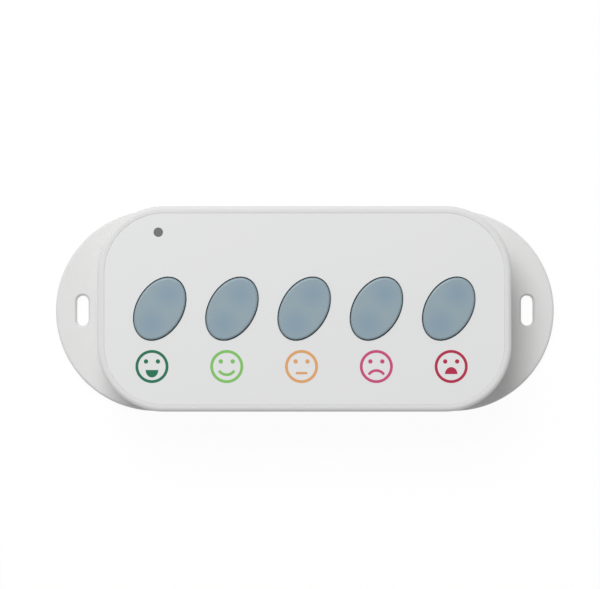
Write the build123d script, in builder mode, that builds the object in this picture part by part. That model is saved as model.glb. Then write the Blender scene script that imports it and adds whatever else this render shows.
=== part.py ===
from build123d import *
import os
from math import cos, radians, sin

# A wireless rating box for a shop counter or a wall: five oval push buttons in a row on a
# shallow white housing with two slotted ears. Sizes are in millimetres. X runs along the row
# of buttons, Y up the face and Z out of the face, and the back of the plate lies on Z = 0.

# Row of buttons
button_count = 5
button_pitch = 20.0
button_end_margin = 17.4
button_tilt = 60.0
button_travel = 0.5

# Front cover
cover_width = 57.0
cover_corner = 18.5
cover_wall = 2.0
cover_front_wall = 2.0
cover_edge_round = 1.2
cover_seam_bevel = 0.3

# Face label
label_inset = 2.0
label_recess = 0.35
label_thickness = 0.25
label_gap = 0.02
label_cut_gap = 0.05
label_lip_round = 0.1

# Button caps
button_long = 18.45
button_short = 12.55
button_gap = 0.3
button_proud = 0.7
button_edge_bevel = 0.4
button_top_wall = 2.0
button_side_wall = 1.4
button_flange_width = 1.4
button_flange_thickness = 1.2
button_stem_diameter = 5.0
button_stem_length = 1.3
button_rib = 1.0

# Push switches
switch_side = 12.0
switch_height = 3.3
switch_top_bevel = 0.4
foot_length = 1.2
foot_width = 1.0
foot_thickness = 0.3
foot_spacing = 5.0
plunger_diameter = 7.0
plunger_proud = 1.0
plunger_guide = 1.0
plunger_gap = 0.25
plunger_floor_gap = 0.1

# Back plate with ears
plate_thickness = 2.5
plate_edge_round = 0.7
plate_back_bevel = 0.3
ear_reach = 13.3
slot_width = 3.4
slot_length = 8.6
slot_inset = 7.6
slot_edge_bevel = 0.5
lip_height = 2.0
lip_thickness = 1.2
lip_gap = 0.2

# Case screws and their bosses
case_boss_diameter = 6.4
case_boss_merge = 0.4
case_screw_diameter = 2.6
case_screw_length = 11.0
case_screw_head = 5.0
case_screw_rim = 0.2
case_screw_sink = 0.1
case_screw_seat_gap = 0.05
case_screw_hole_gap = 0.2
pilot_gap = 0.05
pilot_depth_spare = 1.0
drive_length = 2.6
drive_width = 0.6
drive_depth = 0.7

# Circuit board and its screws
board_thickness = 1.6
board_gap = 1.0
board_notch_gap = 0.5
board_boss_diameter = 5.0
board_screw_from_edge = 8.5
board_screw_diameter = 2.0
board_screw_grip = 4.0
board_screw_head = 3.8
board_screw_head_height = 1.4
board_screw_head_bevel = 0.4
board_screw_hole_gap = 0.2

# Status lamp and light pipe
pipe_diameter = 2.5
pipe_from_edge = 7.3
pipe_from_button = 0.45
pipe_fit = 0.05
pipe_shoulder_diameter = 4.0
pipe_shoulder_height = 1.0
led_length = 3.4
led_width = 2.8
led_height = 1.9
led_bevel = 0.3
led_gap = 0.3

# Battery cells
battery_diameter = 10.4
battery_length = 44.5
battery_edge_bevel = 0.4
battery_plate_gap = 0.3
nub_diameter = 3.8
nub_height = 1.0

# Battery holder
holder_floor = 0.8
holder_seat_gap = 0.1
holder_depth = 8.0
holder_gap = 0.2
holder_wall = 1.2
holder_rib = 1.0
holder_end_wall = 1.6
holder_corner = 1.0
finger_notch_length = 16.0
finger_notch_depth = 4.5

# Battery contacts
contact_thickness = 0.4
contact_width = 8.0
contact_height = 7.8
contact_leaf_width = 5.0
contact_leaf_reach = 2.0
contact_leaf_span = 5.0
contact_leaf_gap = 0.2
contact_tail_width = 1.5
contact_tail_gap = 0.1

# Radio, antenna, sounder and programming header
radio_side = 16.0
radio_board_thickness = 0.8
radio_from_holder = 2.5
shield_inset = 1.0
shield_height = 1.8
shield_edge_round = 0.3
antenna_width = 1.6
antenna_thickness = 0.6
antenna_height = 4.0
antenna_span = 22.0
antenna_bend = 1.6
antenna_from_radio = 2.5
sounder_diameter = 9.0
sounder_height = 4.5
sounder_from_edge = 10.5
sounder_bevel = 0.4
sounder_port_diameter = 2.0
sounder_port_depth = 1.0
header_pitch = 2.54
header_pins = 4
header_height = 2.5
header_pin_width = 0.64
header_pin_length = 6.0
header_from_holder = 3.0

# Heights of the stack, from the back plate up to the top of the caps
battery_z = plate_thickness + battery_plate_gap + battery_diameter / 2
holder_floor_z = battery_z + battery_diameter / 2 + holder_seat_gap
board_z = holder_floor_z + holder_floor
board_top_z = board_z + board_thickness
switch_top_z = board_top_z + switch_height
plunger_top_z = switch_top_z + plunger_proud
flange_z = plunger_top_z + button_stem_length
ceiling_z = flange_z + button_flange_thickness
recess_z = ceiling_z + cover_front_wall
rim_z = recess_z + label_recess
label_top_z = recess_z + label_thickness
cap_top_z = rim_z + button_proud
cap_bevel_z = cap_top_z - button_edge_bevel
pocket_z = cap_top_z - button_top_wall
well_depth = plunger_guide + button_travel + plunger_floor_gap
pipe_foot_z = board_top_z + led_height + led_gap

# Lengths and places in plan
cover_length = button_pitch * (button_count - 1) + 2 * button_end_margin
plate_length = cover_length + 2 * ear_reach
inner_length = cover_length - 2 * cover_wall
inner_width = cover_width - 2 * cover_wall
inner_corner = cover_corner - cover_wall
lip_inset = lip_gap + lip_thickness
label_length = cover_length - 2 * label_inset
label_width = cover_width - 2 * label_inset
label_corner = cover_corner - label_inset
slot_x = plate_length / 2 - slot_inset
button_xs = [button_pitch * (i - (button_count - 1) / 2) for i in range(button_count)]
button_places = [(x, 0) for x in button_xs]
pipe_place = (button_xs[0] - pipe_from_button, cover_width / 2 - pipe_from_edge)

# Case bosses stand on the diagonals of the cover's round corners, grown into the wall
boss_reach = inner_corner - case_boss_diameter / 2 + case_boss_merge
case_screw_x = cover_length / 2 - cover_corner + boss_reach * cos(radians(45))
case_screw_y = cover_width / 2 - cover_corner + boss_reach * sin(radians(45))

# Board screws stand midway between the two outer buttons on each side
board_screw_x = (button_xs[-1] + button_xs[-2]) / 2
board_screw_y = cover_width / 2 - board_screw_from_edge

# Battery bay: each cell's nub meets a flat contact and its base a bowed leaf
cell_y = holder_rib / 2 + holder_gap + battery_diameter / 2
cell_width = battery_diameter + 2 * holder_gap
bay_length = 2 * contact_thickness + battery_length + contact_leaf_reach + contact_leaf_gap
bay_width = 2 * cell_y + cell_width
holder_length = bay_length + 2 * holder_end_wall
holder_width = bay_width + 2 * holder_wall
bay_end = bay_length / 2
nub_end = bay_end - contact_thickness
tail_x = bay_end - contact_thickness / 2
tail_places = [(tail_x, cell_y), (tail_x, -cell_y)]
tail_slot_length = contact_thickness + 2 * contact_tail_gap
tail_slot_width = contact_tail_width + 2 * contact_tail_gap
radio_x = holder_length / 2 + radio_from_holder + radio_side / 2
antenna_x = radio_x + radio_side / 2 + antenna_from_radio
header_x = -(holder_length / 2 + header_from_holder)
sounder_place = ((button_xs[-2] + button_xs[-3]) / 2, cover_width / 2 - sounder_from_edge)

# Countersunk heads of the case screws, and the sinks that they seat in
head_z = case_screw_sink + case_screw_rim
head_radius = case_screw_head / 2
shank_radius = case_screw_diameter / 2
sink_radius = head_radius + head_z + case_screw_seat_gap

os.makedirs("parts", exist_ok=True)


def button_oval(grow, mode=Mode.ADD):
    """Draw the tilted oval of a button, larger by grow all round."""
    Ellipse(button_long / 2 + grow, button_short / 2 + grow, rotation=button_tilt, mode=mode)


def corner_places(x, y):
    """The four places at plus and minus x and y."""
    return GridLocations(2 * x, 2 * y, 2, 2)


# Front cover: one moulded shell, open at the back, with a shallow round-lipped field for the label,
# five oval openings, a hole for the light pipe and bosses for the case screws and board screws.
with BuildPart() as front_cover:
    with BuildSketch(Plane.XY.offset(plate_thickness)):
        RectangleRounded(cover_length, cover_width, cover_corner)
    extrude(amount=rim_z - plate_thickness)
    fillet(front_cover.faces().sort_by(Axis.Z)[-1].edges(), cover_edge_round)
    chamfer(front_cover.faces().sort_by(Axis.Z)[0].edges(), cover_seam_bevel)
    with BuildSketch(Plane.XY.offset(plate_thickness)):
        RectangleRounded(inner_length, inner_width, inner_corner)
    extrude(amount=ceiling_z - plate_thickness, mode=Mode.SUBTRACT)
    with BuildSketch(Plane.XY.offset(recess_z)):
        RectangleRounded(
            label_length + 2 * label_gap, label_width + 2 * label_gap, label_corner + label_gap
        )
    extrude(amount=label_recess, mode=Mode.SUBTRACT)
    fillet(front_cover.edges(Select.LAST).group_by(Axis.Z)[-1], label_lip_round)
    with BuildSketch(Plane.XY.offset(ceiling_z)):
        with Locations(*button_places):
            button_oval(button_gap)
        with Locations(pipe_place):
            Circle(pipe_diameter / 2 + pipe_fit)
    extrude(amount=cover_front_wall, mode=Mode.SUBTRACT)
    with BuildSketch(Plane.XY.offset(plate_thickness)):
        with corner_places(case_screw_x, case_screw_y):
            Circle(case_boss_diameter / 2)
    extrude(amount=ceiling_z - plate_thickness)
    with BuildSketch(Plane.XY.offset(plate_thickness)):
        with corner_places(case_screw_x, case_screw_y):
            Circle(shank_radius + pilot_gap)
    extrude(amount=case_screw_length - plate_thickness + pilot_depth_spare, mode=Mode.SUBTRACT)
    with BuildSketch(Plane.XY.offset(board_top_z)):
        with corner_places(board_screw_x, board_screw_y):
            Circle(board_boss_diameter / 2)
    extrude(amount=ceiling_z - board_top_z)
    with BuildSketch(Plane.XY.offset(board_top_z)):
        with corner_places(board_screw_x, board_screw_y):
            Circle(board_screw_diameter / 2 + pilot_gap)
    extrude(amount=board_screw_grip + pilot_depth_spare, mode=Mode.SUBTRACT)
front_cover.part.label = "front_cover"
export_step(front_cover.part, "parts/front_cover.step")

# Back plate: a flat plate with round ends. The ends reach past the cover as ears, each with an
# upright screw slot, and a lip on the inside centres the cover.
with BuildPart() as back_plate:
    with BuildSketch():
        SlotOverall(plate_length, cover_width)
    extrude(amount=plate_thickness)
    fillet(back_plate.faces().sort_by(Axis.Z)[-1].edges(), plate_edge_round)
    chamfer(back_plate.faces().sort_by(Axis.Z)[0].edges(), plate_back_bevel)
    with BuildSketch():
        with Locations((-slot_x, 0), (slot_x, 0)):
            SlotOverall(slot_length, slot_width, rotation=90)
    extrude(amount=plate_thickness, mode=Mode.SUBTRACT)
    chamfer(back_plate.edges(Select.LAST).group_by(Axis.Z)[-1], slot_edge_bevel)
    with BuildSketch(Plane.XY.offset(plate_thickness)):
        RectangleRounded(inner_length - 2 * lip_gap, inner_width - 2 * lip_gap, inner_corner - lip_gap)
        RectangleRounded(
            inner_length - 2 * lip_inset,
            inner_width - 2 * lip_inset,
            inner_corner - lip_inset,
            mode=Mode.SUBTRACT,
        )
        with corner_places(case_screw_x, case_screw_y):
            Circle(case_boss_diameter / 2 + lip_gap, mode=Mode.SUBTRACT)
    extrude(amount=lip_height)
    with Locations(Plane.XY.rotated((180, 0, 0))):
        with corner_places(case_screw_x, case_screw_y):
            CounterSinkHole(
                shank_radius + case_screw_hole_gap,
                sink_radius,
                depth=plate_thickness,
                counter_sink_angle=90,
            )
back_plate.part.label = "back_plate"
export_step(back_plate.part, "parts/back_plate.step")

# Face label: a thin film that lies in the cover's recess, cut out round the buttons and the lamp.
with BuildPart() as front_label:
    with BuildSketch(Plane.XY.offset(recess_z)):
        RectangleRounded(label_length, label_width, label_corner)
        with Locations(*button_places):
            button_oval(button_gap + label_cut_gap, mode=Mode.SUBTRACT)
        with Locations(pipe_place):
            Circle(pipe_diameter / 2 + label_cut_gap, mode=Mode.SUBTRACT)
    extrude(amount=label_thickness)
front_label.part.label = "front_label"
export_step(front_label.part, "parts/front_label.step")

# Buttons: under each oval opening stand a push switch, its plunger and the cap that sits on it.
# The cap is hollow and ribbed. Its flange stops it under the cover, and its stem carries the push
# to the plunger.
for number, button_x in enumerate(button_xs, start=1):
    with BuildPart() as button_cap:
        with BuildSketch(Plane((button_x, 0, flange_z))):
            button_oval(0)
        extrude(amount=cap_bevel_z - flange_z)
        with BuildSketch(Plane((button_x, 0, cap_bevel_z))):
            button_oval(0)
        with BuildSketch(Plane((button_x, 0, cap_top_z))):
            button_oval(-button_edge_bevel)
        loft(ruled=True)
        with BuildSketch(Plane((button_x, 0, flange_z))):
            button_oval(button_flange_width)
        extrude(amount=button_flange_thickness)
        with BuildSketch(Plane((button_x, 0, flange_z))):
            button_oval(-button_side_wall)
        extrude(amount=pocket_z - flange_z, mode=Mode.SUBTRACT)
        with BuildSketch(Plane((button_x, 0, flange_z))):
            Rectangle(button_long - button_side_wall, button_rib, rotation=button_tilt)
            Rectangle(button_rib, button_short - button_side_wall, rotation=button_tilt)
        extrude(amount=pocket_z - flange_z)
        with BuildSketch(Plane((button_x, 0, plunger_top_z))):
            Circle(button_stem_diameter / 2)
        extrude(amount=pocket_z - plunger_top_z)
    button_cap.part.label = f"button_cap_{number}"
    export_step(button_cap.part, f"parts/button_cap_{number}.step")

    with BuildPart() as switch_plunger:
        with BuildSketch(Plane((button_x, 0, switch_top_z - plunger_guide))):
            Circle(plunger_diameter / 2)
        extrude(amount=plunger_guide + plunger_proud)
    switch_plunger.part.label = f"switch_plunger_{number}"
    export_step(switch_plunger.part, f"parts/switch_plunger_{number}.step")

    with BuildPart() as switch_body:
        with BuildSketch(Plane((button_x, 0, board_top_z))):
            Rectangle(switch_side, switch_side)
        extrude(amount=switch_height)
        chamfer(switch_body.faces().sort_by(Axis.Z)[-1].edges(), switch_top_bevel)
        with BuildSketch(Plane((button_x, 0, switch_top_z))):
            Circle(plunger_diameter / 2 + plunger_gap)
        extrude(amount=-well_depth, mode=Mode.SUBTRACT)
        with BuildSketch(Plane((button_x, 0, board_top_z))):
            with GridLocations(switch_side + foot_length, foot_spacing, 2, 2):
                Rectangle(foot_length, foot_width)
        extrude(amount=foot_thickness)
    switch_body.part.label = f"switch_body_{number}"
    export_step(switch_body.part, f"parts/switch_body_{number}.step")

# Circuit board: it hangs under the cover's board bosses and is notched round the case bosses.
with BuildPart() as circuit_board:
    with BuildSketch(Plane.XY.offset(board_z)):
        RectangleRounded(
            inner_length - 2 * board_gap, inner_width - 2 * board_gap, inner_corner - board_gap
        )
        with corner_places(case_screw_x, case_screw_y):
            Circle(case_boss_diameter / 2 + board_notch_gap, mode=Mode.SUBTRACT)
        with corner_places(board_screw_x, board_screw_y):
            Circle(board_screw_diameter / 2 + board_screw_hole_gap, mode=Mode.SUBTRACT)
        with Locations(*tail_places):
            Rectangle(tail_slot_length, tail_slot_width, mode=Mode.SUBTRACT)
    extrude(amount=board_thickness)
circuit_board.part.label = "circuit_board"
export_step(circuit_board.part, "parts/circuit_board.step")

# Status lamp on the board, and the light pipe that carries its light to the face.
with BuildPart() as status_led:
    with BuildSketch(Plane.XY.offset(board_top_z)):
        with Locations(pipe_place):
            Rectangle(led_length, led_width)
    extrude(amount=led_height)
    chamfer(status_led.faces().sort_by(Axis.Z)[-1].edges(), led_bevel)
status_led.part.label = "status_led"
export_step(status_led.part, "parts/status_led.step")

with BuildPart() as light_pipe:
    with BuildSketch(Plane.XY.offset(pipe_foot_z)):
        with Locations(pipe_place):
            Circle(pipe_diameter / 2)
    extrude(amount=label_top_z - pipe_foot_z)
    with BuildSketch(Plane.XY.offset(ceiling_z)):
        with Locations(pipe_place):
            Circle(pipe_shoulder_diameter / 2)
    extrude(amount=-pipe_shoulder_height)
light_pipe.part.label = "light_pipe"
export_step(light_pipe.part, "parts/light_pipe.step")

# Sounder: a round beeper on the front of the board, with a sound port in its top.
with BuildPart() as sounder:
    with BuildSketch(Plane.XY.offset(board_top_z)):
        with Locations(sounder_place):
            Circle(sounder_diameter / 2)
    extrude(amount=sounder_height)
    chamfer(sounder.faces().sort_by(Axis.Z)[-1].edges(), sounder_bevel)
    with BuildSketch(Plane.XY.offset(board_top_z + sounder_height)):
        with Locations(sounder_place):
            Circle(sounder_port_diameter / 2)
    extrude(amount=-sounder_port_depth, mode=Mode.SUBTRACT)
sounder.part.label = "sounder"
export_step(sounder.part, "parts/sounder.step")

# Radio: a small board on the back of the circuit board, under a metal shield.
with BuildPart() as radio_module:
    with BuildSketch(Plane((radio_x, 0, board_z))):
        Rectangle(radio_side, radio_side)
    extrude(amount=-radio_board_thickness)
radio_module.part.label = "radio_module"
export_step(radio_module.part, "parts/radio_module.step")

with BuildPart() as radio_shield:
    with BuildSketch(Plane((radio_x, 0, board_z - radio_board_thickness))):
        Rectangle(radio_side - 2 * shield_inset, radio_side - 2 * shield_inset)
    extrude(amount=-shield_height)
    fillet(radio_shield.faces().sort_by(Axis.Z)[0].edges(), shield_edge_round)
radio_shield.part.label = "radio_shield"
export_step(radio_shield.part, "parts/radio_shield.step")

# Antenna: a bent strip beside the radio, both ends soldered to the back of the board.
with BuildPart() as antenna:
    with BuildLine() as antenna_path:
        FilletPolyline(
            (antenna_x, -antenna_span / 2, board_z),
            (antenna_x, -antenna_span / 2, board_z - antenna_height),
            (antenna_x, antenna_span / 2, board_z - antenna_height),
            (antenna_x, antenna_span / 2, board_z),
            radius=antenna_bend,
        )
    with BuildSketch(Plane((antenna_x, -antenna_span / 2, board_z))):
        Rectangle(antenna_width, antenna_thickness)
    sweep(path=antenna_path.line)
antenna.part.label = "antenna"
export_step(antenna.part, "parts/antenna.step")

# Programming header: a plastic strip with a row of square pins on the back of the board.
with BuildPart() as program_header:
    with BuildSketch(Plane((header_x, 0, board_z))):
        Rectangle(header_pitch, header_pitch * header_pins)
    extrude(amount=-header_height)
    with BuildSketch(Plane((header_x, 0, board_z - header_height))):
        with GridLocations(header_pitch, header_pitch, 1, header_pins):
            Rectangle(header_pin_width, header_pin_width)
    extrude(amount=-header_pin_length)
program_header.part.label = "program_header"
export_step(program_header.part, "parts/program_header.step")

# Battery holder: an open tray under the board for two cells side by side, with a rib between
# them, finger notches in the long walls and slots for the contacts' tails.
with BuildPart() as battery_holder:
    with BuildSketch(Plane.XY.offset(board_z)):
        RectangleRounded(holder_length, holder_width, holder_corner)
    extrude(amount=-(holder_floor + holder_depth))
    with BuildSketch(Plane.XY.offset(holder_floor_z)):
        Rectangle(bay_length, bay_width)
    extrude(amount=-holder_depth, mode=Mode.SUBTRACT)
    with BuildSketch(Plane.XY.offset(holder_floor_z)):
        Rectangle(battery_length - 2 * contact_leaf_reach, holder_rib)
    extrude(amount=-holder_depth)
    with BuildSketch(Plane.XY.offset(holder_floor_z - holder_depth)):
        Rectangle(finger_notch_length, holder_width)
    extrude(amount=finger_notch_depth, mode=Mode.SUBTRACT)
    with BuildSketch(Plane.XY.offset(board_z)):
        with Locations(*tail_places):
            Rectangle(tail_slot_length, tail_slot_width)
    extrude(amount=-holder_floor, mode=Mode.SUBTRACT)
battery_holder.part.label = "battery_holder"
export_step(battery_holder.part, "parts/battery_holder.step")

# Battery cells: they lie side by side, head to tail, each with its nub on a flat contact.
for number, way in ((1, 1), (2, -1)):
    with BuildPart() as battery:
        shoulder_x = way * (nub_end - nub_height)
        with BuildSketch(Plane.YZ.offset(shoulder_x)):
            with Locations((way * cell_y, battery_z)):
                Circle(battery_diameter / 2)
        extrude(amount=-way * (battery_length - nub_height))
        chamfer(battery.edges().filter_by(GeomType.CIRCLE), battery_edge_bevel)
        with BuildSketch(Plane.YZ.offset(shoulder_x)):
            with Locations((way * cell_y, battery_z)):
                Circle(nub_diameter / 2)
        extrude(amount=way * nub_height)
    battery.part.label = f"battery_{number}"
    export_step(battery.part, f"parts/battery_{number}.step")


def contact_plate(end, y, width):
    """A flat contact against one end wall of the battery bay: end is +1 or -1."""
    middle_z = holder_floor_z - contact_height / 2
    with BuildSketch(Plane.YZ.offset(end * bay_end)) as plate:
        with Locations((y, middle_z)):
            Rectangle(width, contact_height)
    extrude(plate.sketch, amount=-end * contact_thickness)


def contact_leaf(end, y):
    """A bowed leaf that reaches from a contact plate towards the base of its cell."""
    root_x = end * (bay_end - contact_thickness)
    tip_x = end * (bay_end - contact_thickness - contact_leaf_reach)
    bow = end * contact_thickness
    high_z = battery_z + contact_leaf_span / 2
    low_z = battery_z - contact_leaf_span / 2
    with BuildSketch(Plane.XZ.offset(-y)) as leaf:
        with BuildLine():
            ThreePointArc((root_x, high_z), (tip_x, battery_z), (root_x, low_z))
            Line((root_x, low_z), (root_x + bow, low_z))
            ThreePointArc((root_x + bow, low_z), (tip_x + bow, battery_z), (root_x + bow, high_z))
            Line((root_x + bow, high_z), (root_x, high_z))
        make_face()
    extrude(leaf.sketch, amount=contact_leaf_width / 2, both=True)


def contact_tail(y):
    """The solder tail of a contact at the wired end, through the holder and the board."""
    with BuildSketch(Plane.XY.offset(holder_floor_z)) as tail:
        with Locations((tail_x, y)):
            Rectangle(contact_thickness, contact_tail_width)
    extrude(tail.sketch, amount=board_top_z - holder_floor_z)


# Battery contacts: one bridge joins the cells at the far end, and two wired contacts feed the board.
with BuildPart() as bridge_contact:
    contact_plate(-1, 0, 2 * cell_y + contact_width)
    contact_leaf(-1, cell_y)
bridge_contact.part.label = "bridge_contact"
export_step(bridge_contact.part, "parts/bridge_contact.step")

with BuildPart() as positive_contact:
    contact_plate(1, cell_y, contact_width)
    contact_tail(cell_y)
positive_contact.part.label = "positive_contact"
export_step(positive_contact.part, "parts/positive_contact.step")

with BuildPart() as negative_contact:
    contact_plate(1, -cell_y, contact_width)
    contact_leaf(1, -cell_y)
    contact_tail(-cell_y)
negative_contact.part.label = "negative_contact"
export_step(negative_contact.part, "parts/negative_contact.step")

# Case screws: countersunk heads in the back plate, shanks in the cover's corner bosses.
with BuildPart() as case_screws:
    with BuildSketch(Plane.XY.offset(case_screw_sink)):
        with corner_places(case_screw_x, case_screw_y):
            Circle(head_radius)
    extrude(amount=case_screw_rim)
    with Locations(Plane.XY.offset(head_z)):
        with corner_places(case_screw_x, case_screw_y):
            Cone(
                head_radius,
                shank_radius,
                head_radius - shank_radius,
                align=(Align.CENTER, Align.CENTER, Align.MIN),
            )
    with BuildSketch(Plane.XY.offset(head_z)):
        with corner_places(case_screw_x, case_screw_y):
            Circle(shank_radius)
    extrude(amount=case_screw_length - head_z)
    with BuildSketch(Plane.XY.offset(case_screw_sink)):
        with corner_places(case_screw_x, case_screw_y):
            Rectangle(drive_length, drive_width)
            Rectangle(drive_width, drive_length)
    extrude(amount=drive_depth, mode=Mode.SUBTRACT)
case_screws.part.label = "case_screws"
export_step(case_screws.part, "parts/case_screws.step")

# Board screws: pan heads against the back of the board, shanks in the cover's board bosses.
with BuildPart() as board_screws:
    with BuildSketch(Plane.XY.offset(board_z)):
        with corner_places(board_screw_x, board_screw_y):
            Circle(board_screw_head / 2)
    extrude(amount=-board_screw_head_height)
    chamfer(board_screws.edges().group_by(Axis.Z)[0], board_screw_head_bevel)
    with BuildSketch(Plane.XY.offset(board_z)):
        with corner_places(board_screw_x, board_screw_y):
            Circle(board_screw_diameter / 2)
    extrude(amount=board_thickness + board_screw_grip)
board_screws.part.label = "board_screws"
export_step(board_screws.part, "parts/board_screws.step")
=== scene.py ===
import math

import bpy
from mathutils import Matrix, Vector


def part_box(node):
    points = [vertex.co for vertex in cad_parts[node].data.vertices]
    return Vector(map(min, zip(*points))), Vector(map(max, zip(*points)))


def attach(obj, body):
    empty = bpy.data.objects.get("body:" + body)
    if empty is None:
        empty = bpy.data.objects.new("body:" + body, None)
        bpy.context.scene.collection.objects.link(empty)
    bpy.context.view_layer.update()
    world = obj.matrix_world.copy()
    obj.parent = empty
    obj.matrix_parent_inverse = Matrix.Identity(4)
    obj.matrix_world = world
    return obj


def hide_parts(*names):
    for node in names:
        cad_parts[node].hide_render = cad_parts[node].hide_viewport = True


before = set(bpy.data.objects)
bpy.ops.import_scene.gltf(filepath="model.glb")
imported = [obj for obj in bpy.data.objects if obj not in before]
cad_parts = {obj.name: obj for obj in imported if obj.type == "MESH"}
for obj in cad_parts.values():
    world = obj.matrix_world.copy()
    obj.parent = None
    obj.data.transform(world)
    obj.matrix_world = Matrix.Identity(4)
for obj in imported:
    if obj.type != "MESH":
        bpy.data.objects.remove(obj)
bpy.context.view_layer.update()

# Front cover: one injection-moulded shell in white ABS, open at the back, with round corners, a
# shallow field for the face film and five oval openings. The eroded steel of the mould leaves a
# fine matt grain on it. All but the film goes into it from behind.
MM = 0.001
ABS_WHITE = "#DCDCDC"
ABS_WARM_WHITE = "#D9D9D8"
ABS_IOR = 1.53
PLASTIC_GLOSS_SPREAD = 0.06
# The sockets of a colour mix: its factor, its two colours and its result.
MIX_FACTOR = 0
MIX_FIRST = 6
MIX_SECOND = 7
MIX_RESULT = 2


def linear(hex_colour):
    """An sRGB hex value as linear red, green, blue and alpha."""
    parts = [int(hex_colour[i:i + 2], 16) / 255 for i in (1, 3, 5)]
    return [c / 12.92 if c <= 0.04045 else ((c + 0.055) / 1.055) ** 2.4 for c in parts] + [1.0]


def add_node(owner, kind, settings, inputs):
    """Add a node, set its own settings, and give each input a value or another node's output."""
    node = owner.node_tree.nodes.new(kind)
    for name, value in settings.items():
        setattr(node, name, value)
    for name, value in inputs.items():
        if isinstance(value, bpy.types.NodeSocket):
            owner.node_tree.links.new(value, node.inputs[name])
        else:
            node.inputs[name].default_value = value
    return node


def new_material(name):
    """An empty node material, and its Object coordinates for the patterns to read."""
    material = bpy.data.materials.new(name)
    material.use_nodes = True
    material.node_tree.nodes.clear()
    place = add_node(material, "ShaderNodeTexCoord", {}, {})
    return material, place.outputs["Object"]


def finish_surface(material, colour, relief, depth_mm, roughness, spread, constants):
    """End a material: its colour, and a gloss and a bump that both follow one relief pattern."""
    gloss = add_node(
        material,
        "ShaderNodeMapRange",
        {},
        {"Value": relief, "To Min": roughness - spread, "To Max": roughness + spread},
    )
    bump = add_node(
        material, "ShaderNodeBump", {}, {"Height": relief, "Distance": depth_mm * MM, "Strength": 1.0}
    )
    surface = add_node(
        material,
        "ShaderNodeBsdfPrincipled",
        {},
        {
            "Base Color": colour,
            "Roughness": gloss.outputs["Result"],
            "Normal": bump.outputs["Normal"],
            **constants,
        },
    )
    add_node(material, "ShaderNodeOutputMaterial", {}, {"Surface": surface.outputs["BSDF"]})
    return material


def grained_finish(name, colour, cloud_colour, cloud_mm, grain_mm, depth_mm, roughness, constants):
    """A plastic or an ink: faint clouds between two close shades, and a fine grain over them."""
    material, place = new_material(name)
    clouds = add_node(
        material,
        "ShaderNodeTexNoise",
        {},
        {"Vector": place, "Scale": 1 / (cloud_mm * MM), "Detail": 3.0},
    )
    grain = add_node(
        material,
        "ShaderNodeTexNoise",
        {},
        {"Vector": place, "Scale": 1 / (grain_mm * MM), "Detail": 2.0},
    )
    shade = add_node(
        material,
        "ShaderNodeMix",
        {"data_type": "RGBA"},
        {
            MIX_FACTOR: clouds.outputs["Fac"],
            MIX_FIRST: linear(colour),
            MIX_SECOND: linear(cloud_colour),
        },
    )
    return finish_surface(
        material,
        shade.outputs[MIX_RESULT],
        grain.outputs["Fac"],
        depth_mm,
        roughness,
        PLASTIC_GLOSS_SPREAD,
        constants,
    )


def dress(material, *node_names):
    """Give these nodes of the frame their material."""
    for name in node_names:
        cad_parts[name].data.materials.clear()
        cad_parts[name].data.materials.append(material)


# The grain of the mould is about 0.1 mm, too fine to show, so it is drawn at 0.7 mm and only a few
# thousandths deep: the eye gets an even, slightly soft white.
white_abs = grained_finish(
    "moulded_white_abs",
    ABS_WHITE,
    ABS_WARM_WHITE,
    cloud_mm=40,
    grain_mm=0.7,
    depth_mm=0.006,
    roughness=0.62,
    constants={"IOR": ABS_IOR},
)
dress(white_abs, "front_cover")

# Face film: a thin polyester film printed pale grey on its back, with a velvet finish. It is stuck
# in the cover's field, and is cut out round the five buttons and the lamp.
FILM_GREY = "#E0E0E0"
FILM_COOL_GREY = "#DEDFDF"
FILM_IOR = 1.57

# The velvet coat is finer than 0.1 mm, so it is drawn at 0.5 mm. It takes the shine off the film.
face_film = grained_finish(
    "velvet_polyester_film",
    FILM_GREY,
    FILM_COOL_GREY,
    cloud_mm=30,
    grain_mm=0.5,
    depth_mm=0.004,
    roughness=0.5,
    constants={"IOR": FILM_IOR},
)
dress(face_film, "front_label")

# Rating faces: five round faces from a laugh to a frown, screen printed on the film in one ink
# each. An ink layer is a few hundredths of a millimetre thick and lies on top of the film.
FACE_RADIUS = 4.57 * MM
FACE_STROKE = 0.78 * MM
FACE_ROW_X = -0.75 * MM
FACE_ROW_Y = -16.0 * MM
FACE_PITCH = 20.7 * MM
MIDDLE_FACE = 3
EYE_RADIUS = 0.6 * MM
EYE_X = 1.65 * MM
EYE_Y = 1.4 * MM
LAUGH_RADIUS = 1.75 * MM
LAUGH_HEIGHT = 2.05 * MM
LAUGH_Y = -0.97 * MM
SMILE_REACH = 2.56 * MM
SMILE_STROKE = 0.74 * MM
SMILE_BEND = math.radians(115)
SMILE_Y = -2.27 * MM
FLAT_REACH = 1.65 * MM
FLAT_STROKE = 0.65 * MM
FLAT_Y = -1.83 * MM
FROWN_Y = -1.11 * MM
CRY_RADIUS = 1.72 * MM
CRY_HEIGHT = 1.92 * MM
CRY_Y = -2.09 * MM
SPOT_SIDES = 72
BAR_END_SHARE = 0.499
BAR_END_STEPS = 6
BAR_CUTS = 15
INK_THICKNESS = 0.03 * MM
INK_OPTICS = {"IOR": 1.5, "Specular IOR Level": 0.3}
INKS = {
    "laugh": ("#156A4C", "#1D6E52"),
    "smile": ("#7ABE5D", "#82C267"),
    "flat": ("#DB9F64", "#DFA56E"),
    "frown": ("#C24674", "#C64E7C"),
    "cry": ("#AC213F", "#B02949"),
}
film_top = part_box("front_label")[1].z


def extrude_along_z(height):
    """Extrude the selected faces up, or down where the height is below zero."""
    bpy.ops.mesh.extrude_region_move(TRANSFORM_OT_translate={"value": (0, 0, height)})


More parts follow.
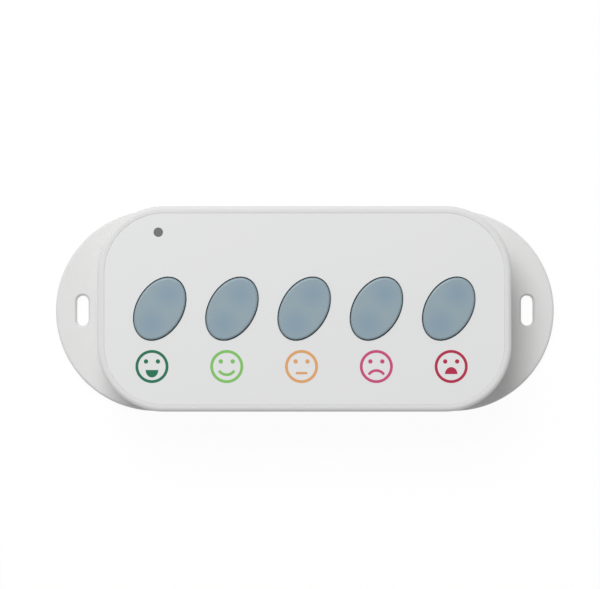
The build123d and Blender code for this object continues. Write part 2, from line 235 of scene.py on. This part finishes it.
def ink_disc(x, y, radius, stroke=None, height=None, keep_below=None, keep_above=None):
    """Print one round spot of ink, or a ring of that stroke, and keep only one side of a line."""
    bpy.ops.object.select_all(action="DESELECT")
    bpy.ops.mesh.primitive_circle_add(
        vertices=SPOT_SIDES, radius=radius, fill_type="NGON", location=(x, y, film_top)
    )
    spot = bpy.context.object
    if height:
        spot.scale.y = height / radius
    bpy.ops.object.transform_apply()
    bpy.ops.object.mode_set(mode="EDIT")
    bpy.ops.mesh.select_all(action="SELECT")
    if stroke:
        bpy.ops.mesh.inset(thickness=stroke)
        bpy.ops.mesh.delete(type="FACE")
    for line, away in ((keep_below, 1), (keep_above, -1)):
        if line is not None:
            bpy.ops.mesh.select_all(action="SELECT")
            bpy.ops.mesh.bisect(plane_co=(0, line, 0), plane_no=(0, away, 0), clear_outer=True)
    bpy.ops.object.mode_set(mode="OBJECT")
    return spot


def ink_bar(x, y, reach, stroke, bend=0.0):
    """Print a bar with round ends, bent up at its ends for a smile or down for a frown."""
    bpy.ops.object.select_all(action="DESELECT")
    bpy.ops.mesh.primitive_plane_add(size=1)
    bar = bpy.context.object
    bar.scale = (2 * reach, stroke, 1)
    bpy.ops.object.transform_apply()
    bpy.ops.object.mode_set(mode="EDIT")
    bpy.ops.mesh.select_all(action="SELECT")
    bpy.ops.mesh.bevel(offset=BAR_END_SHARE * stroke, segments=BAR_END_STEPS, affect="VERTICES")
    bpy.ops.mesh.select_all(action="DESELECT")
    bpy.ops.mesh.select_mode(type="EDGE")
    bpy.ops.object.mode_set(mode="OBJECT")
    # Only the two long edges are cut up, so that the bar can bend in a smooth line.
    for edge in bar.data.edges:
        first, last = (bar.data.vertices[v].co for v in edge.vertices)
        edge.select = (first - last).length > stroke
    bpy.ops.object.mode_set(mode="EDIT")
    bpy.ops.mesh.subdivide(number_cuts=BAR_CUTS)
    bpy.ops.object.mode_set(mode="OBJECT")
    if bend:
        bow = bar.modifiers.new("bow", "SIMPLE_DEFORM")
        bow.deform_method = "BEND"
        bow.deform_axis = "Z"
        bow.angle = bend
        bpy.ops.object.modifier_apply(modifier=bow.name)
    bar.location = (x, y, film_top)
    bpy.ops.object.transform_apply()
    return bar


def mouth(kind, x, y):
    """Print the mouth of one kind of face whose middle is at x, y."""
    if kind == "laugh":
        return ink_disc(x, y + LAUGH_Y, LAUGH_RADIUS, height=LAUGH_HEIGHT, keep_below=y + LAUGH_Y)
    if kind == "smile":
        return ink_bar(x, y + SMILE_Y, SMILE_REACH, SMILE_STROKE, SMILE_BEND)
    if kind == "flat":
        return ink_bar(x, y + FLAT_Y, FLAT_REACH, FLAT_STROKE)
    if kind == "frown":
        return ink_bar(x, y + FROWN_Y, SMILE_REACH, SMILE_STROKE, -SMILE_BEND)
    return ink_disc(x, y + CRY_Y, CRY_RADIUS, height=CRY_HEIGHT, keep_above=y + CRY_Y)


for number, (kind, (ink, thin_ink)) in enumerate(INKS.items(), start=1):
    face_x = FACE_ROW_X + FACE_PITCH * (number - MIDDLE_FACE)
    spots = [ink_disc(face_x, FACE_ROW_Y, FACE_RADIUS, FACE_STROKE)]
    spots += [ink_disc(face_x + eye, FACE_ROW_Y + EYE_Y, EYE_RADIUS) for eye in (-EYE_X, EYE_X)]
    spots.append(mouth(kind, face_x, FACE_ROW_Y))
    for spot in spots:
        spot.select_set(True)
    bpy.context.view_layer.objects.active = spots[0]
    bpy.ops.object.join()
    rating_face = bpy.context.object
    rating_face.name = f"rating_face_{number}"
    bpy.ops.object.transform_apply()
    bpy.ops.object.mode_set(mode="EDIT")
    bpy.ops.mesh.select_all(action="SELECT")
    extrude_along_z(INK_THICKNESS)
    bpy.ops.mesh.select_all(action="SELECT")
    bpy.ops.mesh.normals_make_consistent(inside=False)
    bpy.ops.object.mode_set(mode="OBJECT")
    # The marks of the printing mesh are about 0.1 mm, too fine to show, so they are drawn at 0.4 mm.
    screen_ink = grained_finish(
        f"screen_printed_{kind}_ink",
        ink,
        thin_ink,
        cloud_mm=1.2,
        grain_mm=0.4,
        depth_mm=0.003,
        roughness=0.6,
        constants=INK_OPTICS,
    )
    rating_face.data.materials.append(screen_ink)
    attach(rating_face, "housing")

# Light pipe: a short rod of smoked clear polycarbonate, pressed into the cover from behind. Its
# polished end lies flush with the film and looks grey over the dark inside of the box.
SMOKED_GREY = "#6F6F73"
SMOKED_DARK_GREY = "#66666B"
POLYCARBONATE_IOR = 1.58

# A polished mould leaves no grain, only a slow waviness that is hardly deep.
smoked_polycarbonate = grained_finish(
    "smoked_polycarbonate",
    SMOKED_GREY,
    SMOKED_DARK_GREY,
    cloud_mm=3,
    grain_mm=0.8,
    depth_mm=0.001,
    roughness=0.2,
    constants={"IOR": POLYCARBONATE_IOR},
)
dress(smoked_polycarbonate, "light_pipe")

# Button caps: five flat-topped oval caps in satin blue-grey ABS, leaning to the right. A flange
# holds each one behind its opening, and a stem under the hollow, ribbed top pushes the switch.
BUTTON_NUMBERS = range(1, 6)
CAP_LONG = 18.45 * MM
CAP_SHORT = 12.55 * MM
CAP_TILT = math.radians(60)
CAP_SIDES = 128
CAP_FLANGE_WIDTH = 1.4 * MM
CAP_FLANGE_THICKNESS = 1.2 * MM
CAP_STEM_LENGTH = 1.3 * MM
CAP_STEM_DIAMETER = 5.0 * MM
CAP_STEM_INSET = 2.5 * MM
CAP_SIDE_WALL = 1.4 * MM
CAP_TOP_WALL = 2.0 * MM
CAP_RIB_THICKNESS = 1.0 * MM
CAP_RIB_SETBACK = 0.1 * MM
CAP_EDGE_ROUND = 0.5 * MM
CAP_EDGE_STEPS = 6
CAP_EDGE_BAND = 0.1 * MM
CAP_SMOOTH_ANGLE = math.radians(40)
CAP_GREY = "#889CA6"
CAP_WARM_GREY = "#8C9EA6"
# Painted shade: the darker blue-grey of two spots near the ends of each cap's long axis, with their
# distance from the middle and their size.
CAP_PAINTED_SHADE_BLUE_GREY = "#7E96A5"
CAP_SHADE_SPOT_REACH = 4.8 * MM
CAP_SHADE_SPOT_RADIUS = 5.8 * MM
CAP_CLOUD_MM = 10
CAP_GRAIN_MM = 0.6
CAP_GRAIN_DEPTH_MM = 0.004
CAP_ROUGHNESS = 0.41
CAP_GLOSS_SPREAD = 0.05
LEVEL_SLACK = 0.001 * MM
LEVEL_NORMAL = 0.999


def select_flat(piece, height):
    """Select only the piece's flat faces at that height."""
    bpy.ops.mesh.select_mode(type="FACE")
    bpy.ops.object.mode_set(mode="OBJECT")
    for polygon in piece.data.polygons:
        at_height = abs(polygon.center.z - height) < LEVEL_SLACK
        polygon.select = at_height and abs(polygon.normal.z) > LEVEL_NORMAL
    bpy.ops.object.mode_set(mode="EDIT")


stem_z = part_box("button_cap_1")[0].z
cap_top_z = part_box("button_cap_1")[1].z
flange_z = stem_z + CAP_STEM_LENGTH
pocket_z = cap_top_z - CAP_TOP_WALL

bpy.ops.object.select_all(action="DESELECT")
bpy.ops.mesh.primitive_circle_add(
    vertices=CAP_SIDES, radius=1, fill_type="NGON", location=(0, 0, flange_z)
)
cap = bpy.context.object
cap.scale = (CAP_LONG / 2 + CAP_FLANGE_WIDTH, CAP_SHORT / 2 + CAP_FLANGE_WIDTH, 1)
bpy.ops.object.transform_apply()
bpy.ops.object.mode_set(mode="EDIT")
bpy.ops.mesh.select_mode(type="FACE")
bpy.ops.mesh.select_all(action="SELECT")
extrude_along_z(CAP_FLANGE_THICKNESS)
bpy.ops.mesh.inset(thickness=CAP_FLANGE_WIDTH)
extrude_along_z(cap_top_z - flange_z - CAP_FLANGE_THICKNESS)
bpy.ops.mesh.region_to_loop()
bpy.ops.mesh.bevel(offset=CAP_EDGE_ROUND, segments=CAP_EDGE_STEPS, affect="EDGES")
# A narrow flat band inside the rounded edge keeps the shading of the flat top even.
select_flat(cap, cap_top_z)
bpy.ops.mesh.inset(thickness=CAP_EDGE_BAND)
# The hollow goes up from below, and the stem comes down from the middle of its ceiling.
select_flat(cap, flange_z)
bpy.ops.mesh.inset(thickness=CAP_FLANGE_WIDTH + CAP_SIDE_WALL)
extrude_along_z(pocket_z - flange_z)
bpy.ops.mesh.inset(thickness=CAP_STEM_INSET)
stem_long = CAP_LONG - 2 * CAP_SIDE_WALL - 2 * CAP_STEM_INSET
stem_short = CAP_SHORT - 2 * CAP_SIDE_WALL - 2 * CAP_STEM_INSET
bpy.ops.transform.resize(value=(CAP_STEM_DIAMETER / stem_long, CAP_STEM_DIAMETER / stem_short, 1))
extrude_along_z(stem_z - pocket_z)
bpy.ops.mesh.select_all(action="SELECT")
bpy.ops.mesh.normals_make_consistent(inside=False)
bpy.ops.object.mode_set(mode="OBJECT")
# Two crossed ribs stiffen the hollow top. They run from wall to wall through the stem.
rib_low = flange_z + CAP_RIB_SETBACK
rib_high = pocket_z + CAP_TOP_WALL / 2
for rib_length, rib_width in (
    (CAP_LONG - CAP_SIDE_WALL, CAP_RIB_THICKNESS),
    (CAP_RIB_THICKNESS, CAP_SHORT - CAP_SIDE_WALL),
):
    bpy.ops.object.select_all(action="DESELECT")
    bpy.ops.mesh.primitive_cube_add(size=1, location=(0, 0, (rib_low + rib_high) / 2))
    rib = bpy.context.object
    rib.scale = (rib_length, rib_width, rib_high - rib_low)
    bpy.ops.object.transform_apply()
    bpy.context.view_layer.objects.active = cap
    grown = cap.modifiers.new("grown", "BOOLEAN")
    grown.operation = "UNION"
    grown.object = rib
    bpy.ops.object.modifier_apply(modifier=grown.name)
    bpy.data.objects.remove(rib)
cap.select_set(True)
bpy.ops.object.shade_smooth_by_angle(angle=CAP_SMOOTH_ANGLE)


def satin_cap_plastic_with_painted_shade(name, pitch):
    """Satin ABS with slow clouds, and painted shade: each cap turns a darker blue-grey in two spots
    near the ends of its long axis.
    """
    material, place = new_material(name)
    split = add_node(material, "ShaderNodeSeparateXYZ", {}, {"Vector": place})
    across = add_node(
        material,
        "ShaderNodeMath",
        {"operation": "WRAP"},
        {0: split.outputs["X"], 1: pitch / 2, 2: -pitch / 2},
    )
    on_cap = add_node(
        material, "ShaderNodeCombineXYZ", {}, {"X": across.outputs[0], "Y": split.outputs["Y"]}
    )
    turned = add_node(
        material,
        "ShaderNodeVectorRotate",
        {"rotation_type": "Z_AXIS"},
        {"Vector": on_cap.outputs[0], "Angle": -CAP_TILT},
    )
    folded = add_node(
        material, "ShaderNodeVectorMath", {"operation": "ABSOLUTE"}, {0: turned.outputs[0]}
    )
    away = add_node(
        material,
        "ShaderNodeVectorMath",
        {"operation": "DISTANCE"},
        {0: folded.outputs[0], 1: (CAP_SHADE_SPOT_REACH, 0, 0)},
    )
    # Painted shade: a smooth spot near each end of the cap's long axis, where the colour turns to the
    # darker blue-grey.
    spot = add_node(
        material,
        "ShaderNodeMapRange",
        {"interpolation_type": "SMOOTHSTEP"},
        {"Value": away.outputs["Value"], "From Max": CAP_SHADE_SPOT_RADIUS, "To Min": 1.0, "To Max": 0.0},
    )
    clouds = add_node(
        material, "ShaderNodeTexNoise", {}, {"Vector": place, "Scale": 1 / (CAP_CLOUD_MM * MM)}
    )
    # The grain of the mould is about 0.1 mm, too fine to show, so it is drawn at 0.6 mm.
    grain = add_node(
        material, "ShaderNodeTexNoise", {}, {"Vector": place, "Scale": 1 / (CAP_GRAIN_MM * MM)}
    )
    cloudy = add_node(
        material,
        "ShaderNodeMix",
        {"data_type": "RGBA"},
        {
            MIX_FACTOR: clouds.outputs["Fac"],
            MIX_FIRST: linear(CAP_GREY),
            MIX_SECOND: linear(CAP_WARM_GREY),
        },
    )
    shade = add_node(
        material,
        "ShaderNodeMix",
        {"data_type": "RGBA"},
        {
            MIX_FACTOR: spot.outputs["Result"],
            MIX_FIRST: cloudy.outputs[MIX_RESULT],
            MIX_SECOND: linear(CAP_PAINTED_SHADE_BLUE_GREY),
        },
    )
    return finish_surface(
        material,
        shade.outputs[MIX_RESULT],
        grain.outputs["Fac"],
        CAP_GRAIN_DEPTH_MM,
        CAP_ROUGHNESS,
        CAP_GLOSS_SPREAD,
        {"IOR": ABS_IOR},
    )


cap_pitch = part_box("button_cap_2")[0].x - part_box("button_cap_1")[0].x
satin_grey_abs_painted_shade = satin_cap_plastic_with_painted_shade("satin_grey_abs_painted_shade", cap_pitch)
cap.data.materials.append(satin_grey_abs_painted_shade)
cap.rotation_euler.z = CAP_TILT
bpy.ops.object.transform_apply()
for number in BUTTON_NUMBERS:
    node_low, node_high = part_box(f"button_cap_{number}")
    piece = cap.copy()
    piece.data = cap.data.copy()
    piece.name = f"oval_cap_{number}"
    bpy.context.collection.objects.link(piece)
    bpy.ops.object.select_all(action="DESELECT")
    piece.select_set(True)
    bpy.context.view_layer.objects.active = piece
    piece.location.x = (node_low.x + node_high.x) / 2
    bpy.ops.object.transform_apply()
    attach(piece, f"button_{number}")
    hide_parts(f"button_cap_{number}")
bpy.data.objects.remove(cap)

# Push switches: five square switches with black nylon bodies, soldered to the board. Each has a
# round plunger in brown phenolic plastic that the cap's stem rests on.
NYLON_BLACK = "#1C1C1E"
NYLON_WORN_BLACK = "#262628"
PHENOLIC_BROWN = "#5A3B28"
PHENOLIC_DARK_BROWN = "#4A3021"
PHENOLIC_IOR = 1.6

# Glass fibres roughen the nylon, and the phenolic is flecked by its filler. Both are finer than
# 0.1 mm, and are drawn at about 0.5 mm.
black_nylon = grained_finish(
    "glass_filled_black_nylon",
    NYLON_BLACK,
    NYLON_WORN_BLACK,
    cloud_mm=8,
    grain_mm=0.5,
    depth_mm=0.008,
    roughness=0.55,
    constants={},
)
brown_phenolic = grained_finish(
    "moulded_brown_phenolic",
    PHENOLIC_BROWN,
    PHENOLIC_DARK_BROWN,
    cloud_mm=4,
    grain_mm=0.4,
    depth_mm=0.004,
    roughness=0.4,
    constants={"IOR": PHENOLIC_IOR},
)
for number in BUTTON_NUMBERS:
    dress(black_nylon, f"switch_body_{number}")
    dress(brown_phenolic, f"switch_plunger_{number}")

# Circuit board: green solder mask over woven glass cloth and epoxy. It carries the switches, the
# lamp and the radio, and hangs from four screws under the cover's bosses.
MASK_GREEN = "#1F5B38"
MASK_PALE_GREEN = "#2A6E45"
MASK_IOR = 1.5
MASK_ROUGHNESS = 0.32
MASK_GLOSS_SPREAD = 0.04
GLASS_THREAD_MM = 0.5
GLASS_RELIEF_MM = 0.004
# The wave pattern repeats at this length where its scale is 1.
WAVE_LENGTH = math.pi / 10


def solder_mask(name):
    """Green solder mask: the weave of the glass cloth under it shows as a fine check."""
    material, place = new_material(name)
    threads = [
        add_node(
            material,
            "ShaderNodeTexWave",
            {"bands_direction": way, "wave_profile": "SIN"},
            {"Vector": place, "Scale": WAVE_LENGTH / (GLASS_THREAD_MM * MM), "Distortion": 0.4},
        )
        for way in ("X", "Y")
    ]
    weave = add_node(
        material,
        "ShaderNodeMath",
        {"operation": "MULTIPLY"},
        {0: threads[0].outputs["Fac"], 1: threads[1].outputs["Fac"]},
    )
    shade = add_node(
        material,
        "ShaderNodeMix",
        {"data_type": "RGBA"},
        {
            MIX_FACTOR: weave.outputs[0],
            MIX_FIRST: linear(MASK_GREEN),
            MIX_SECOND: linear(MASK_PALE_GREEN),
        },
    )
    return finish_surface(
        material,
        shade.outputs[MIX_RESULT],
        weave.outputs[0],
        GLASS_RELIEF_MM,
        MASK_ROUGHNESS,
        MASK_GLOSS_SPREAD,
        {"IOR": MASK_IOR},
    )


green_mask = solder_mask("green_solder_mask")
dress(green_mask, "circuit_board", "radio_module")

# Lamp, sounder and header: a white lamp under the light pipe, a round beeper and a four-pin header
# in black plastic, all soldered to the board.
LAMP_WHITE = "#E8E6DC"
LAMP_YELLOW = "#E6DDB0"
EPOXY_IOR = 1.5

# Cast epoxy is smooth, and yellowish where the phosphor under it shows through.
lamp_epoxy = grained_finish(
    "cast_lamp_epoxy",
    LAMP_WHITE,
    LAMP_YELLOW,
    cloud_mm=1.5,
    grain_mm=0.5,
    depth_mm=0.001,
    roughness=0.25,
    constants={"IOR": EPOXY_IOR},
)
dress(lamp_epoxy, "status_led")
dress(black_nylon, "sounder", "program_header")

# Shield, contacts and screws: pressed or turned from steel and plated with zinc, which dries to a
# slightly cloudy silver with fine lines along the rolled sheet.
ZINC_SILVER = "#C3C5C6"
ZINC_CLOUDED = "#A9ABAA"
METAL_LINE_STRETCH = 0.08
METAL_LINE_DEPTH_MM = 0.003
METAL_GLOSS_SPREAD = 0.08


def rolled_metal(name, colour, cloud_colour, line_mm, roughness):
    """A rolled or drawn metal: fine lines along X, broken up by cloudy patches."""
    material, place = new_material(name)
    stretched = add_node(
        material, "ShaderNodeMapping", {}, {"Vector": place, "Scale": (METAL_LINE_STRETCH, 1.0, 1.0)}
    )
    lines = add_node(
        material,
        "ShaderNodeTexNoise",
        {},
        {"Vector": stretched.outputs[0], "Scale": 1 / (line_mm * MM), "Detail": 2.0},
    )
    shade = add_node(
        material,
        "ShaderNodeMix",
        {"data_type": "RGBA"},
        {
            MIX_FACTOR: lines.outputs["Fac"],
            MIX_FIRST: linear(colour),
            MIX_SECOND: linear(cloud_colour),
        },
    )
    return finish_surface(
        material,
        shade.outputs[MIX_RESULT],
        lines.outputs["Fac"],
        METAL_LINE_DEPTH_MM,
        roughness,
        METAL_GLOSS_SPREAD,
        {"Metallic": 1.0},
    )


# Rolling lines are a few hundredths of a millimetre wide, so they are drawn at 0.3 mm.
zinc_plate = rolled_metal(
    "zinc_plated_steel", ZINC_SILVER, ZINC_CLOUDED, line_mm=0.3, roughness=0.34
)
dress(zinc_plate, "radio_shield", "bridge_contact", "positive_contact", "negative_contact")
dress(zinc_plate, "board_screws", "case_screws")

# Antenna: a brass strip bent to a low loop beside the radio, both ends soldered to the board.
# Brass dulls to a brownish yellow as it ages.
BRASS_YELLOW = "#C9A75E"
BRASS_DULL = "#A98748"

rolled_brass = rolled_metal("rolled_brass", BRASS_YELLOW, BRASS_DULL, line_mm=0.3, roughness=0.3)
dress(rolled_brass, "antenna")

# Battery holder and cells: an open tray in black nylon under the board, and two AAA cells, steel
# cans in a plain printed sleeve that shines like the metal under it.
SLEEVE_BLUE_GREY = "#5C6670"
SLEEVE_DARK_GREY = "#4E5760"

printed_sleeve = rolled_metal(
    "printed_battery_sleeve", SLEEVE_BLUE_GREY, SLEEVE_DARK_GREY, line_mm=0.6, roughness=0.35
)
dress(black_nylon, "battery_holder")
dress(printed_sleeve, "battery_1", "battery_2")

# Back plate: one flat moulding in the cover's white ABS, with round ends that reach past the cover
# as ears. It closes the box, and four countersunk screws hold it from behind.
dress(white_abs, "back_plate")

# Stage: a plain white floor that the box lies on, face up. It shows white to the camera and in
# reflections and keeps a soft trace of the box's shadow. From below it can be looked through, and
# it lets the light from below reach the back plate that lies against it.
FLOOR_SIZE = 6.0
FLOOR_DROP = 0.05 * MM
FLOOR_CONTACT = 2.0 * MM
FLOOR_WHITE = "#FFFFFF"
FLOOR_SHADOW_SHARE = 0.05


def seen_rays(owner):
    """1 for camera, mirror and see-through rays, and 0 for the rays that carry light about."""
    rays = add_node(owner, "ShaderNodeLightPath", {}, {})
    seen = add_node(
        owner,
        "ShaderNodeMath",
        {"operation": "MAXIMUM"},
        {0: rays.outputs["Is Camera Ray"], 1: rays.outputs["Is Glossy Ray"]},
    )
    seen = add_node(
        owner,
        "ShaderNodeMath",
        {"operation": "MAXIMUM"},
        {0: seen.outputs[0], 1: rays.outputs["Is Transmission Ray"]},
    )
    return seen.outputs[0]


bpy.ops.object.select_all(action="DESELECT")
bpy.ops.mesh.primitive_plane_add(size=FLOOR_SIZE, location=(0, 0, -FLOOR_DROP))
floor = bpy.context.object
floor.name = "floor"
paper, place = new_material("white_paper")
white_share = add_node(
    paper,
    "ShaderNodeMath",
    {"operation": "MULTIPLY"},
    {0: seen_rays(paper), 1: 1 - FLOOR_SHADOW_SHARE},
)
matt = add_node(paper, "ShaderNodeBsdfDiffuse", {}, {"Color": linear(FLOOR_WHITE)})
glow = add_node(paper, "ShaderNodeEmission", {}, {"Color": linear(FLOOR_WHITE), "Strength": 1.0})
upper = add_node(
    paper,
    "ShaderNodeMixShader",
    {},
    {0: white_share.outputs[0], 1: matt.outputs[0], 2: glow.outputs[0]},
)
under = add_node(paper, "ShaderNodeBsdfTransparent", {}, {})
side = add_node(paper, "ShaderNodeNewGeometry", {}, {})
rays = add_node(paper, "ShaderNodeLightPath", {}, {})
touching = add_node(
    paper,
    "ShaderNodeMath",
    {"operation": "LESS_THAN"},
    {0: rays.outputs["Ray Length"], 1: FLOOR_CONTACT},
)
open_below = add_node(
    paper,
    "ShaderNodeMath",
    {"operation": "MAXIMUM"},
    {0: side.outputs["Backfacing"], 1: touching.outputs[0]},
)
both = add_node(
    paper,
    "ShaderNodeMixShader",
    {},
    {0: open_below.outputs[0], 1: upper.outputs[0], 2: under.outputs[0]},
)
add_node(paper, "ShaderNodeOutputMaterial", {}, {"Surface": both.outputs[0]})
floor.data.materials.append(paper)

# Light: a plain studio, an even sky all round and one large soft window above and to the left,
# which throws the body's soft shadow on the right ear.
SKY_LEVEL = 0.45
KEY_POWER = 19.6
KEY_SIZE = 0.8
KEY_PLACE = (-0.3, 0.8, 1.4)

world = bpy.data.worlds.new("studio")
bpy.context.scene.world = world
world.use_nodes = True
world.node_tree.nodes.clear()
level = add_node(
    world,
    "ShaderNodeMapRange",
    {},
    {"Value": seen_rays(world), "To Min": SKY_LEVEL, "To Max": 1.0},
)
sky = add_node(world, "ShaderNodeBackground", {}, {"Strength": level.outputs["Result"]})
add_node(world, "ShaderNodeOutputWorld", {}, {"Surface": sky.outputs[0]})

bpy.ops.object.light_add(type="AREA", location=KEY_PLACE)
window = bpy.context.object
window.name = "window"
window.data.shape = "SQUARE"
window.data.size = KEY_SIZE
window.data.energy = KEY_POWER
window.rotation_euler = Vector(KEY_PLACE).to_track_quat("Z", "Y").to_euler()

# Camera: a long lens that looks down on the face from 900 mm, very slightly from below the row of
# buttons, as the photograph does.
CAMERA_PLACE = (5 * MM, -20 * MM, 900 * MM)
CAMERA_AIM = (-1.19 * MM, 4.0 * MM, 22 * MM)
CAMERA_LENS = 189.75
CAMERA_SENSOR_WIDTH = 36.0
CAMERA_NEAREST = 10 * MM

bpy.ops.object.camera_add(location=CAMERA_PLACE)
camera = bpy.context.object
camera.name = "camera"
drop = CAMERA_PLACE[2] - CAMERA_AIM[2]
camera.rotation_euler = (
    math.atan2(CAMERA_AIM[1] - CAMERA_PLACE[1], drop),
    math.atan2(CAMERA_PLACE[0] - CAMERA_AIM[0], drop),
    0,
)
camera.data.lens = CAMERA_LENS
camera.data.sensor_width = CAMERA_SENSOR_WIDTH
camera.data.clip_start = CAMERA_NEAREST
bpy.context.scene.camera = camera
bpy.context.scene.view_settings.view_transform = "Standard"
